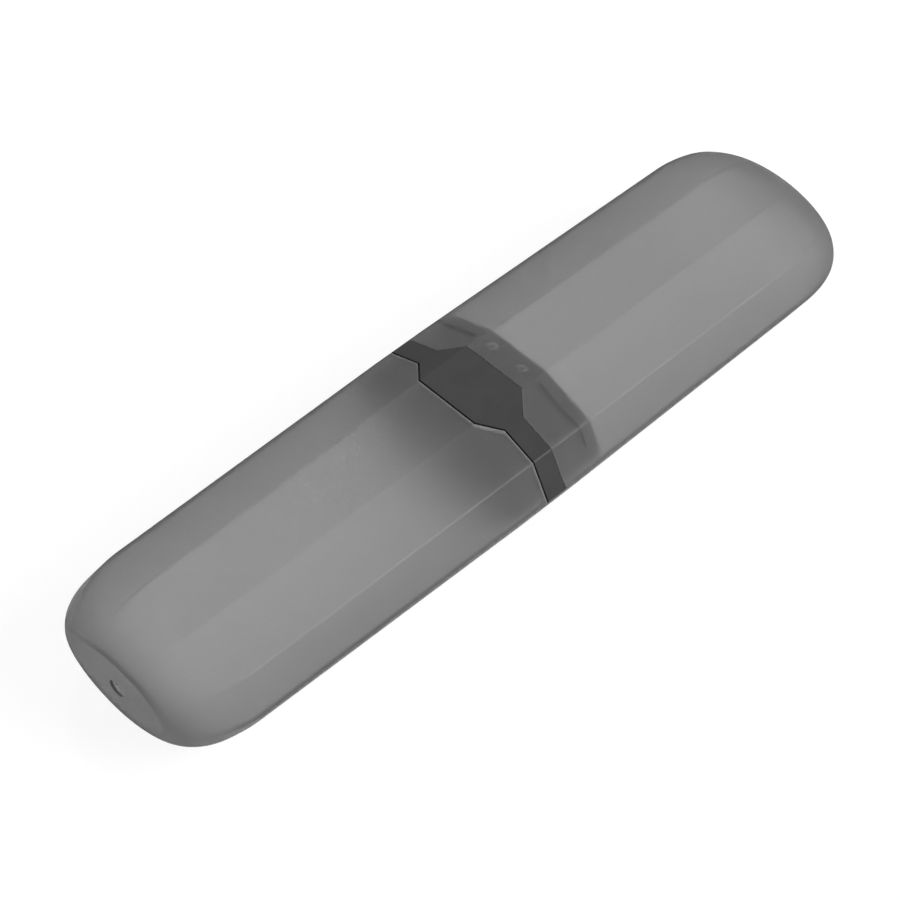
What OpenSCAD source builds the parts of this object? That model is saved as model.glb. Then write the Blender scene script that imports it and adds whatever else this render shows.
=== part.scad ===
// Travel case for an electric toothbrush: two frosted shells that meet on a dark collar.
// X runs along the case, Y across it and Z up. The origin is the middle of the underside.
// The front shell, on the -X side, pulls off the collar. The rear shell is snapped to it.

/* [Case] */
// Length over the two end faces
case_l = 220; // [200:1:250]
// Width across the two widest edges
case_w = 58.6; // [52:0.2:70]
// Height over the two flat faces
case_h = 31.6; // [28:0.2:40]
// Lean of each shell's sides towards its closed end, in degrees
draft_angle = 0.64; // [0.3:0.02:1]
// Radius of the ten long edges
edge_r = 0.9; // [0.5:0.1:1.5]

/* [Closed ends] */
// Width of the flat oval at each end
end_face_w = 30; // [24:0.5:34]
// Height of the flat oval at each end
end_face_h = 17.7; // [14:0.1:20]
// Length over which the sides round in and the facets melt away
end_side_l = 20.8; // [16:0.2:26]
// Length over which the top and bottom round in
end_top_l = 11.4; // [8:0.2:15]
// Diameter of the sunk mark left by the moulding gate
gate_d = 4.6; // [3:0.1:6]
// Depth of the sunk mark
gate_depth = 0.7; // [0.3:0.1:1]
// Diameter of the broken nub in the sunk mark
nub_d = 1.7; // [1:0.1:2.4]
// Height of the nub, which stays below the end face
nub_h = 0.5; // [0.2:0.1:0.6]

/* [Shell walls] */
// Thickness of the shell's sides
shell_wall = 1.5; // [1.2:0.1:2]
// Thickness of the shell's closed end
end_wall = 2; // [1.6:0.1:2.6]

/* [Collar] */
// Length of the belt that shows between the shells, along the case
belt_l = 5.8; // [4:0.2:8]
// Length of the wide pad on the top and on the underside, along the case
pad_l = 15.5; // [12:0.5:18]
// Width of the pad where its slanted shoulders run out into the belt
pad_w = 29; // [26:0.5:32]
// Thickness of the tongues that reach into the shells
tongue_wall = 1.3; // [1:0.1:1.8]
// Reach of the front tongue past the belt
front_tongue_l = 9.4; // [8:0.2:12]
// Reach of the rear tongue past the belt
rear_tongue_l = 13.7; // [12:0.2:18]
// Length of the lead-in chamfer at each tongue's tip
lead_l = 1.2; // [0.6:0.1:2]
// Depth of the lead-in chamfer
lead_h = 0.4; // [0.2:0.1:0.6]

/* [Fits] */
// Gap between the front tongue and the shell that slides over it
slide_gap = 0.3; // [0.2:0.05:0.4]
// Gap between the rear tongue and the shell that is snapped over it
snap_gap = 0.12; // [0.08:0.02:0.2]
// Gap that shows as a dark line round the front shell's mouth
front_seam = 0.4; // [0.2:0.05:0.6]
// Gap round the rear shell's mouth
rear_seam = 0.12; // [0.08:0.02:0.2]

/* [Snap ribs] */
// Distance from the belt to the middle of the snap ribs
rib_reach = 9.3; // [8:0.1:11]
// Length of a rib along the case, at its foot
rib_foot_l = 1.4; // [1:0.1:2]
// Length of a rib along the case, at its crest
rib_crest_l = 0.6; // [0.4:0.1:1]
// Height of a rib above the tongue
rib_h = 0.35; // [0.2:0.05:0.5]
// Space round a rib in its groove in the rear shell
groove_gap = 0.1; // [0.05:0.01:0.15]

/* [Hidden] */

// Corners of the ten-sided section between the widest edge and the top, as shares of its
// half width and half height
corner_shares = [[1, 0], [0.822, 0.642], [0.314, 1]];
corners = 10;
// Points on each rounded edge, and points on each facet between two edges
edge_steps = 2;
facet_steps = 3;
// Share of a quarter arc that each profile turns through at the closed end. At 1 it runs out
// square to the end face, and below 1 it leaves a crisp edge there.
side_arc_share = 1;
top_arc_share = 0.9;
// How far the wall's inner corner steps in at the closed end, as a share of the wall
corner_share = 0.4;
// Rings down the rounded end, and degrees of arc between them
end_rings = 11;
end_step = 90 / end_rings;

// The snap ribs as [facet, middle, length], the last two as shares of that facet. Facets are
// counted from the widest edge on the +Y side, up over the top and round.
rib_shares = [
    [0, 0.72, 0.46], [1, 0.5, 0.84], [2, 0.23, 0.19], [2, 0.77, 0.19], [3, 0.5, 0.84],
    [4, 0.28, 0.46], [5, 0.72, 0.46], [6, 0.5, 0.84], [7, 0.23, 0.19], [7, 0.77, 0.19],
    [8, 0.5, 0.84], [9, 0.28, 0.46]
];

half_l = case_l / 2;
half_w = case_w / 2;
half_h = case_h / 2;
belt_half = belt_l / 2;
pad_half = pad_l / 2;
pad_flat = corner_shares[2].x * half_w;
front_tip = belt_half + front_tongue_l;
rear_tip = belt_half + rear_tongue_l;
front_cut = shell_wall + slide_gap;
rear_cut = shell_wall + snap_gap;
way_cut = front_cut + tongue_wall;
rib_x = belt_half + rib_reach;
// Overrun of a cut past the surface it opens
over = shell_wall;
round_facets = 64;

// Outline tools. Outlines are counter-clockwise lists of [y, z] or [x, y].
function unit(v) = v / norm(v);
function inward(a, b) = let (u = unit(b - a)) [-u.y, u.x];
function meet(p, u, q, v) = p + u * cross(q - p, v) / cross(u, v);

// The outline with each side moved inward by d, or outward where d is negative
function inset(pts, d) = let (n = len(pts)) [
    for (i = [0 : n - 1])
        let (a = pts[(i + n - 1) % n], b = pts[i], c = pts[(i + 1) % n])
        meet(b + d * inward(a, b), b - a, b + d * inward(b, c), c - b)
];

// The ten corners of a section with half width w and half height h
function decagon(w, h) = let (q = [for (c = corner_shares) [c.x * w, c.y * h]]) concat(
    q,
    [for (i = [2 : -1 : 0]) [-q[i].x, q[i].y]],
    [for (i = [1 : 2]) [-q[i].x, -q[i].y]],
    [for (i = [2 : -1 : 1]) [q[i].x, -q[i].y]]
);

// The outline with its corners rounded by r, and with n points on each facet between them
function rounded(pts, r, n) = let (
    mids = inset(pts, r),
    arcs = [
        for (i = [0 : corners - 1])
            let (
                a = -inward(pts[(i + corners - 1) % corners], pts[i]),
                b = -inward(pts[i], pts[(i + 1) % corners]),
                from = atan2(a.y, a.x),
                turn = atan2(cross(a, b), a * b)
            )
            [for (k = [0 : edge_steps])
                let (t = from + turn * k / edge_steps) mids[i] + r * [cos(t), sin(t)]]
    ]
) [
    for (i = [0 : corners - 1])
        let (p = arcs[i][edge_steps], q = arcs[(i + 1) % corners][0])
        each concat(arcs[i], n > 0 ? [for (j = [1 : n]) p + (q - p) * j / (n + 1)] : [])
];

// How far a profile has dropped, from 0 to 1, once it is c of the way along its rounding
function arc_drop(c, turned) =
    (1 - sqrt(1 - pow(c * turned, 2))) / (1 - sqrt(1 - turned * turned));
function past(x, from, reach) = min(1, max(0, (x - from) / reach));
function drafted(full, x) = full - max(0, x - pad_half) * tan(draft_angle);

// Half width and half height at distance x from the middle of the case, of the surface that
// lies cut below the outside and end_cut inside the end face
function side_at(x, cut, end_cut) = let (
    full = drafted(half_w, x) - cut,
    c = past(x, half_l - end_side_l, end_side_l - end_cut)
) full - (full - end_face_w / 2 + corner_share * cut) * arc_drop(c, side_arc_share);
function top_at(x, cut, end_cut) = let (
    full = drafted(half_h, x) - cut,
    c = past(x, half_l - end_top_l, end_top_l - end_cut)
) full - (full - end_face_h / 2 + corner_share * cut) * arc_drop(c, top_arc_share);

// The ring of points at distance x: ten facets that melt into an oval towards the end
function ring(x, cut, end_cut = 0) = let (
    w = side_at(x, cut, end_cut),
    h = top_at(x, cut, end_cut),
    c = past(x, half_l - end_side_l, end_side_l - end_cut),
    melt = c * c * (3 - 2 * c)
) [
    for (p = rounded(inset(decagon(w + cut, h + cut), cut), edge_r, facet_steps))
        let (t = atan2(p.y / h, p.x / w), oval = [w * cos(t), h * sin(t)], q = p + (oval - p) * melt)
        [x, q.x, q.y]
];

// Distances of the rings from the closed end to the middle plane, closest at the end
function stations(end_cut) = concat(
    [for (i = [end_rings : -1 : 0])
        half_l - end_side_l + (end_side_l - end_cut) * sin(i * end_step)],
    [pad_half, 0]
);

// A solid through a list of rings: closed by its first and last ring, or joined into a tube
module skin(rings, tube = false) {
    n = len(rings[0]);
    m = len(rings);
    spans = tube ? m : m - 1;
    polyhedron(
        points = [for (r = rings) each r],
        faces = concat(
            [for (j = [0 : spans - 1]) for (i = [0 : n - 1])
                let (
                    a = j * n + i, b = j * n + (i + 1) % n,
                    c = ((j + 1) % m) * n + (i + 1) % n, d = ((j + 1) % m) * n + i
                )
                each [[a, c, b], [a, d, c]]],
            tube ? [] : [[for (i = [0 : n - 1]) i], [for (i = [n - 1 : -1 : 0]) (m - 1) * n + i]]
        )
    );
}

module at_axis() {
    translate([0, 0, half_h]) children();
}

// Plan outline of the belt and its pad, grown by a seam
function belt_outline(seam) = inset([
    [belt_half, -half_w - over], [belt_half, -pad_w / 2], [pad_half, -pad_flat],
    [pad_half, pad_flat], [belt_half, pad_w / 2], [belt_half, half_w + over],
    [-belt_half, half_w + over], [-belt_half, pad_w / 2], [-pad_half, pad_flat],
    [-pad_half, -pad_flat], [-belt_half, -pad_w / 2], [-belt_half, -half_w - over]
], -seam);

module belt_plan(seam = 0) {
    translate([0, 0, -half_h - over])
        linear_extrude(case_h + 2 * over)
            polygon(belt_outline(seam));
}

// A straight bar of the case's section, cut below the outside, over the length of the pads
module section_bar(cut, length) {
    translate([-length / 2, 0, 0])
        rotate([90, 0, 90])
            linear_extrude(length)
                polygon(rounded(inset(decagon(half_w, half_h), cut), edge_r, 0));
}

// The snap ribs on the rear tongue, or with a gap their grooves in the shell
module snap_ribs(gap = 0) {
    drop = (rib_x - pad_half) * tan(draft_angle);
    line = inset(decagon(half_w - drop, half_h - drop), rear_cut);
    foot = rib_foot_l / 2 + gap;
    crest = rib_crest_l / 2 + gap;
    top = rib_h + gap;
    sunk = tongue_wall / 2;
    for (rib = rib_shares) {
        a = line[rib[0]];
        b = line[(rib[0] + 1) % corners];
        along = b - a;
        span = norm(along) * rib[2] + 2 * gap;
        start = norm(along) * rib[1] - span / 2;
        translate([rib_x, a.x, a.y])
            rotate([atan2(along.y, along.x), 0, 0])
                translate([0, start + span, 0])
                    rotate([90, 0, 0])
                        linear_extrude(span)
                            polygon([[-foot, sunk], [foot, sunk], [foot, 0], [crest, -top],
                                [-crest, -top], [-foot, 0]]);
    }
}

// The sunk gate mark in the end face, with its nub
module gate_mark() {
    translate([half_l - gate_depth, 0, 0])
        rotate([0, 90, 0])
            difference() {
                cylinder(h = gate_depth + over, d = gate_d, $fn = round_facets);
                translate([0, 0, -over])
                    cylinder(h = nub_h + over, d = nub_d, $fn = round_facets);
            }
}

// One hollow shell on the +X side, with its mouth cut to the collar's outline
module shell(seam) {
    difference() {
        skin(concat(
            [for (x = stations(end_wall)) ring(x, shell_wall, end_wall)],
            [for (i = [len(stations(0)) - 1 : -1 : 0]) ring(stations(0)[i], 0)]
        ));
        belt_plan(seam);
        gate_mark();
    }
}

module front_shell() {
    color([0.58, 0.58, 0.575, 0.6])
        at_axis() mirror([1, 0, 0]) shell(front_seam);
}

module rear_shell() {
    color([0.57, 0.57, 0.565, 0.6])
        at_axis() difference() {
            shell(rear_seam);
            snap_ribs(groove_gap);
        }
}

// A tube through both mouths, the belt and pads that fill the seam, and the snap ribs
module collar() {
    color([0.2, 0.2, 0.205])
        at_axis() {
            skin([
                for (s = [
                    [-front_tip, front_cut + lead_h], [lead_l - front_tip, front_cut],
                    [-pad_half, front_cut], [-belt_half, front_cut], [belt_half, rear_cut],
                    [pad_half, rear_cut], [rear_tip - lead_l, rear_cut],
                    [rear_tip, rear_cut + lead_h]
                ]) let (r = ring(abs(s[0]), s[1])) [for (p = r) [s[0], p.y, p.z]],
                for (x = [rear_tip, -front_tip])
                    let (r = ring(0, way_cut)) [for (p = r) [x, p.y, p.z]]
            ], tube = true);
            difference() {
                intersection() {
                    section_bar(0, pad_l + 2 * over);
                    belt_plan();
                }
                section_bar(front_cut + tongue_wall / 2, pad_l + 4 * over);
            }
            snap_ribs();
        }
}

front_shell();
collar();
rear_shell();
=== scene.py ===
# Travel case for an electric toothbrush: two frosted shells on a dark collar, in a white studio.
# X runs along the case, Y across it and Z up, with the origin in the middle of the underside.

import math
from collections import namedtuple

import bmesh
import bpy
from mathutils import Matrix, Vector


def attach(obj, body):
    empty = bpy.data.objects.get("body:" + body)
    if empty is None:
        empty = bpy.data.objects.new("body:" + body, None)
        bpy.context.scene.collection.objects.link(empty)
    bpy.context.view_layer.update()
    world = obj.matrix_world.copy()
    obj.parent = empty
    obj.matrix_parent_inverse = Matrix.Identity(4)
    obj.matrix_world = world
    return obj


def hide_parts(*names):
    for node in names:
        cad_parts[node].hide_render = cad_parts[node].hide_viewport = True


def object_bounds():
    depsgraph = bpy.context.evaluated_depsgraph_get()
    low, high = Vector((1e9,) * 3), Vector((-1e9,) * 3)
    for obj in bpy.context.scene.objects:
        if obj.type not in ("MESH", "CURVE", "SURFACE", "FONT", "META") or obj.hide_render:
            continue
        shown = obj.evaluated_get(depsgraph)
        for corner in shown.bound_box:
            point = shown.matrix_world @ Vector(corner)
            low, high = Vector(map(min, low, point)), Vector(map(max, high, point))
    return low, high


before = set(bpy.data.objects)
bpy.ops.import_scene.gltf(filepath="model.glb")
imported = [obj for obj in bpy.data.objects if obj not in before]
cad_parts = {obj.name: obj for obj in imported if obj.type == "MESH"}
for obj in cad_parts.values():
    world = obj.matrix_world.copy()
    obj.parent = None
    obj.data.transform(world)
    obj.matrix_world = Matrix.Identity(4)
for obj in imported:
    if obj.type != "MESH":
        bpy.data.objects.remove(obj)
cad_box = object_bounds()

bl_info = {
    "name": "Toothbrush Travel Case",
    "version": (1, 0, 0),
    "blender": (4, 5, 0),
    "location": "3D View > Sidebar > Travel Case",
    "description": "Models a frosted pull-apart travel case with its dark collar, and its studio",
    "category": "Object",
}

MM = 0.001

# Corners of the ten-sided section from the widest edge to the top, as shares of its half width
# and half height
CORNER_SHARES = ((1.0, 0.0), (0.822, 0.642), (0.314, 1.0))
SIDES = 10
EDGE_SEGMENTS = 4
FACET_CUTS = 7
END_RINGS = 26
# Share of a quarter arc that each profile turns through at the closed end
SIDE_ARC_SHARE = 1.0
TOP_ARC_SHARE = 0.9
# How far the wall's inner corner steps in at the closed end, as a share of the wall
CORNER_SHARE = 0.4
# The snap ribs as facet, middle and length, the last two as shares of that facet. Facets are
# counted from the widest edge on the +Y side, over the top and round.
RIB_SHARES = (
    (0, 0.72, 0.46), (1, 0.5, 0.84), (2, 0.23, 0.19), (2, 0.77, 0.19), (3, 0.5, 0.84),
    (4, 0.28, 0.46), (5, 0.72, 0.46), (6, 0.5, 0.84), (7, 0.23, 0.19), (7, 0.77, 0.19),
    (8, 0.5, 0.84), (9, 0.28, 0.46),
)
# The gate's nub from its foot to its middle: each ring's drop below the crown and its radius, as
# shares of the nub's radius
NUB_RINGS = ((0.25, 1.0), (0.0, 0.75), (0.0, 1 / 3), (0.25, 0.2))
# Angles past which an edge is rounded on a shell and on the collar, the strips of faces in such
# a rounding, and the angle up to which faces shade as one
MOUTH_ANGLE = math.radians(50)
COLLAR_ANGLE = math.radians(40)
ROUND_STRIPS = 2
SMOOTH_ANGLE = math.radians(20)
# Rays that show the surround itself, the camera's own first, where others only light
SEEN_RAYS = ("Is Camera Ray", "Is Glossy Ray", "Is Transmission Ray")
# Room by which a cutting block stands past what it cuts
OVER = 2 * MM
# Distance under which two places count as one
TINY = 0.001 * MM
# Cells per metre of the eroded skin's specks, the shares of the cells that hold none and no
# full one, and a speck's outer and full radius in cells
SPECK_CELLS = 2900.0
SPECK_CHANCE = (0.74, 0.82)
SPECK_DOT = (0.5, 0.32)
# Share of the edge radius, from the sharp corner, over which a long edge is rubbed smooth
WORN_SHARE = 0.2
# How far edges are whitened and made glossier, a painted highlight for the light caught in them:
# the front mouth's rim, the rear one, which stays in its tight seam, and the broken plastic in the
# gate mark
FRONT_RIM_HIGHLIGHT = 1.0
REAR_RIM_HIGHLIGHT = 0.1
GATE_HIGHLIGHT = 0.9
# How far the faces of a rounded rim look along the case, at least and at most, and those on the
# gate mark's floor and nub at least, where 1 is straight along it
RIM_TURN = (0.2, 0.98)
GATE_TURN = 0.5
# Refraction of the two plastics
SHELL_IOR = 1.49
COLLAR_IOR = 1.5
# Waves per metre and detail of the plastics' clouding and of their skins' grain
SHELL_CLOUD = (45.0, 2.0)
SHELL_GRAIN = (4000.0, 2.0)
COLLAR_CLOUD = (160.0, 4.0)
COLLAR_GRAIN = (5000.0, 2.0)
# How light the plastics are in their darkest and lightest clouds, where 1 is their own colour,
# and the part of its noise over which the collar's clouding runs
SHELL_TINTS = (0.97, 1.03)
COLLAR_TINTS = (0.85, 1.15)
COLLAR_CONTRAST = (0.3, 0.7)
# How far the grain moves the roughness up and down, how deep it is, and how much of it shows
SHELL_SWING = 0.1
COLLAR_SWING = 0.05
SHELL_RELIEF = 0.02 * MM
COLLAR_RELIEF = 0.03 * MM
RELIEF_SHARE = 0.4
# Part of the grain's noise over which a rubbed edge breaks up
RUB_CONTRAST = (0.35, 0.6)

# A ring of a loft: its place, half its sizes, and its share of the way to a circle
Station = namedtuple("Station", "x half_w half_h melt")
# What sets one shell apart from the other: its tint, the gap at its mouth, how much painted
# highlight its mouth carries, whether it is snapped on ribs, and its turn from the +X side
Side = namedtuple("Side", "colour seam wear snapped turn")


class CaseSizes(bpy.types.PropertyGroup):
    """Overall sizes of the closed case and of its ends"""

    length: bpy.props.FloatProperty(
        name="Length", description="Length over the two end faces", unit="LENGTH",
        default=cad_box[1].x - cad_box[0].x)
    width: bpy.props.FloatProperty(
        name="Width", description="Width across the two widest edges, before they are rounded",
        unit="LENGTH", default=58.6 * MM)
    height: bpy.props.FloatProperty(
        name="Height", description="Height over the two flat faces", unit="LENGTH",
        default=cad_box[1].z - cad_box[0].z)
    draft: bpy.props.FloatProperty(
        name="Lean", description="Lean of each shell's sides towards its closed end",
        subtype="ANGLE", default=math.radians(0.64))
    edge_radius: bpy.props.FloatProperty(
        name="Edge Radius", description="Radius of the ten long edges", unit="LENGTH",
        default=0.9 * MM)
    face_width: bpy.props.FloatProperty(
        name="End Face Width", description="Width of the flat oval at each end", unit="LENGTH",
        default=30 * MM)
    face_height: bpy.props.FloatProperty(
        name="End Face Height", description="Height of the flat oval at each end",
        unit="LENGTH", default=17.7 * MM)
    side_length: bpy.props.FloatProperty(
        name="Side Rounding", description="Length over which the sides round in", unit="LENGTH",
        default=20.8 * MM)
    top_length: bpy.props.FloatProperty(
        name="Top Rounding", description="Length over which the top and bottom round in",
        unit="LENGTH", default=11.4 * MM)


class ShellSizes(bpy.types.PropertyGroup):
    """Sizes of the shells' walls, mouths and gate marks"""

    wall: bpy.props.FloatProperty(
        name="Wall", description="Thickness of the sides", unit="LENGTH", default=1.5 * MM)
    end_wall: bpy.props.FloatProperty(
        name="End Wall", description="Thickness of the closed end", unit="LENGTH",
        default=2 * MM)
    front_seam: bpy.props.FloatProperty(
        name="Front Seam", description="Gap between the belt and the front shell's mouth",
        unit="LENGTH", default=0.4 * MM)
    rear_seam: bpy.props.FloatProperty(
        name="Rear Seam", description="Gap between the belt and the rear shell's mouth",
        unit="LENGTH", default=0.12 * MM)
    mouth_round: bpy.props.FloatProperty(
        name="Mouth Rounding", description="Width of the rounding on the mouth's edges",
        unit="LENGTH", default=0.22 * MM)
    lip_width: bpy.props.FloatProperty(
        name="Lip Line", description="Breadth of the pale line outside along the mouth",
        unit="LENGTH", default=0.4 * MM)
    gate_width: bpy.props.FloatProperty(
        name="Gate Mark", description="Diameter of the sunk mark in the end face",
        unit="LENGTH", default=4.6 * MM)
    gate_depth: bpy.props.FloatProperty(
        name="Gate Depth", description="Depth of the sunk mark", unit="LENGTH",
        default=0.7 * MM)
    pin_place: bpy.props.FloatProperty(
        name="Ring Marks", description="Distance of the two ring marks from the middle line",
        unit="LENGTH", default=5.0 * MM)
    pin_ring: bpy.props.FloatProperty(
        name="Ring Radius", description="Radius of a ring mark", unit="LENGTH",
        default=0.9 * MM)
    pin_line: bpy.props.FloatProperty(
        name="Ring Line", description="Breadth over which a ring mark fades out",
        unit="LENGTH", default=0.6 * MM)
    # Painted shade over the snap ribs, where the dark ribs show through the wall: half its lines'
    # breadth, and where they fade in and out
    rib_shade_breadth: bpy.props.FloatProperty(
        name="Sink Line", description="Half the breadth of the sunk lines over the snap ribs",
        unit="LENGTH", default=0.55 * MM)
    rib_shade_start: bpy.props.FloatVectorProperty(
        name="Sink Start", description="Distances from the middle over which a sunk line fades "
        "in", size=2, unit="LENGTH", default=(10.2 * MM, 11.2 * MM))
    rib_shade_end: bpy.props.FloatVectorProperty(
        name="Sink End", description="Distances from the middle over which it fades out",
        size=2, unit="LENGTH", default=(27.0 * MM, 26.0 * MM))
    nub_width: bpy.props.FloatProperty(
        name="Nub", description="Diameter of the broken nub in the sunk mark", unit="LENGTH",
        default=1.7 * MM)
    nub_height: bpy.props.FloatProperty(
        name="Nub Height", description="Height of the nub above the sunk floor",
        unit="LENGTH", default=0.5 * MM)


class CollarSizes(bpy.types.PropertyGroup):
    """Sizes of the collar's belt, pads, tongues and snap ribs"""

    belt: bpy.props.FloatProperty(
        name="Belt", description="Length of the belt between the shells", unit="LENGTH",
        default=5.8 * MM)
    pad_length: bpy.props.FloatProperty(
        name="Pad Length", description="Length of the wide pad along the case",
        unit="LENGTH", default=15.5 * MM)
    pad_width: bpy.props.FloatProperty(
        name="Pad Width", description="Width where the pad's shoulders run out into the belt",
        unit="LENGTH", default=29 * MM)
    tongue_wall: bpy.props.FloatProperty(
        name="Tongue Wall", description="Thickness of the tongues", unit="LENGTH",
        default=1.3 * MM)
    front_tongue: bpy.props.FloatProperty(
        name="Front Tongue", description="Reach of the front tongue past the belt",
        unit="LENGTH", default=9.4 * MM)
    rear_tongue: bpy.props.FloatProperty(
        name="Rear Tongue", description="Reach of the rear tongue past the belt",
        unit="LENGTH", default=13.7 * MM)
    lead_length: bpy.props.FloatProperty(
        name="Lead-in Length", description="Length of the chamfer at each tongue's tip",
        unit="LENGTH", default=1.2 * MM)
    lead_depth: bpy.props.FloatProperty(
        name="Lead-in Depth", description="Depth of that chamfer", unit="LENGTH",
        default=0.4 * MM)
    slide_gap: bpy.props.FloatProperty(
        name="Slide Gap", description="Gap between the front tongue and its shell",
        unit="LENGTH", default=0.3 * MM)
    snap_gap: bpy.props.FloatProperty(
        name="Snap Gap", description="Gap between the rear tongue and its shell",
        unit="LENGTH", default=0.12 * MM)
    rib_reach: bpy.props.FloatProperty(
        name="Rib Reach", description="Distance from the belt to the middle of the snap ribs",
        unit="LENGTH", default=9.3 * MM)
    rib_foot: bpy.props.FloatProperty(
        name="Rib Foot", description="Length of a rib along the case at its foot",
        unit="LENGTH", default=1.4 * MM)
    rib_crest: bpy.props.FloatProperty(
        name="Rib Crest", description="Length of a rib along the case at its crest",
        unit="LENGTH", default=0.6 * MM)
    rib_height: bpy.props.FloatProperty(
        name="Rib Height", description="Height of a rib above the tongue", unit="LENGTH",
        default=0.35 * MM)
    groove_gap: bpy.props.FloatProperty(
        name="Groove Gap", description="Space round a rib in its groove in the rear shell",
        unit="LENGTH", default=0.1 * MM)
    rib_press: bpy.props.FloatProperty(
        name="Rib Press", description="How far a rib's crest presses into the wall's groove",
        unit="LENGTH", default=0.02 * MM)
    edge_round: bpy.props.FloatProperty(
        name="Edge Rounding", description="Width of the rounding on the collar's edges",
        unit="LENGTH", default=0.16 * MM)


class CaseFinish(bpy.types.PropertyGroup):
    """Colours and surface texture of the mouldings"""

    front_colour: bpy.props.FloatVectorProperty(
        name="Front Shell", description="Tint of the front shell's plastic", subtype="COLOR",
        min=0, max=1, default=(0.9, 0.9, 0.9))
    rear_colour: bpy.props.FloatVectorProperty(
        name="Rear Shell", description="Tint of the rear shell's plastic", subtype="COLOR",
        min=0, max=1, default=(0.9, 0.9, 0.9))
    smoke: bpy.props.FloatProperty(
        name="Smoke", description="Density of the grey in the shells' plastic, per metre",
        min=0, default=222.0)
    clarity: bpy.props.FloatProperty(
        name="Clarity", description="Share of the light that passes into the plastic, and "
        "isn't scattered at its skin", subtype="FACTOR", min=0, max=1, default=0.955)
    gloss: bpy.props.FloatProperty(
        name="Shell Gloss", description="Strength of the shells' reflections",
        subtype="FACTOR", min=0, max=1, default=0.22)
    frost: bpy.props.FloatProperty(
        name="Frost", description="Roughness of the spark-eroded outside", subtype="FACTOR",
        min=0, max=1, default=0.62)
    polish: bpy.props.FloatProperty(
        name="Core Side", description="Roughness of the shells' inside, from the mould's core",
        subtype="FACTOR", min=0, max=1, default=0.62)
    worn_edge: bpy.props.FloatProperty(
        name="Worn Edges", description="Roughness of the long edges, rubbed smoother by hands",
        subtype="FACTOR", min=0, max=1, default=0.25)
    # Painted shade: share of the tint left in the lines over the snap ribs
    sunk: bpy.props.FloatProperty(
        name="Sunk Lines", description="Share of the tint left in the lines over the ribs",
        subtype="FACTOR", min=0, max=1, default=0.6)
    # Painted highlight: the mouths' rims and the gate mark are whitened by letting less light into
    # the plastic
    highlight_clarity: bpy.props.FloatProperty(
        name="Rim Clarity", description="Clarity left in the mouths' rubbed, whitened edges",
        subtype="FACTOR", min=0, max=1, default=0.1)
    # Painted highlight whitening a line along the outside of the mouth
    lip_highlight: bpy.props.FloatProperty(
        name="Lip Bloom", description="How far the line along the mouth is whitened",
        subtype="FACTOR", min=0, max=1, default=0.15)
    # The ring marks are real marks; their whitening is a painted highlight for the light caught in
    # their edges
    pin_highlight: bpy.props.FloatProperty(
        name="Ring Bloom", description="How far the ring marks are whitened like the rims",
        subtype="FACTOR", min=0, max=1, default=0.11)
    speck: bpy.props.FloatProperty(
        name="Specks", description="Roughness of the glinting specks in the eroded skin",
        subtype="FACTOR", min=0, max=1, default=0.28)
    # Lighter specks: partly the eroded skin's grain, partly a painted glint
    speck_glint_tint: bpy.props.FloatProperty(
        name="Speck Tint", description="How much lighter the specks are", min=1, default=1.1)
    collar_colour: bpy.props.FloatVectorProperty(
        name="Collar", description="Colour of the collar's plastic", subtype="COLOR",
        min=0, max=1, default=(0.026, 0.026, 0.028))
    collar_roughness: bpy.props.FloatProperty(
        name="Collar Roughness", description="Roughness of the collar's satin surface",
        subtype="FACTOR", min=0, max=1, default=0.5)
    # Painted shade: the collar's colour is darkened in the seams round its belt, where shadow falls
    # between it and the shells
    seam_shade_share: bpy.props.FloatProperty(
        name="Seam Grime", description="Share of the collar's colour left where grime gathers "
        "in the seams round its belt", subtype="FACTOR", min=0, max=1, default=0.2)
    # Roughness within that painted seam shade
    seam_shade_roughness: bpy.props.FloatProperty(
        name="Grime Roughness", description="Roughness of that grime", subtype="FACTOR",
        min=0, max=1, default=0.9)
    collar_gloss: bpy.props.FloatProperty(
        name="Collar Gloss", description="Strength of the collar's reflections",
        subtype="FACTOR", min=0, max=1, default=0.42)


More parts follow.
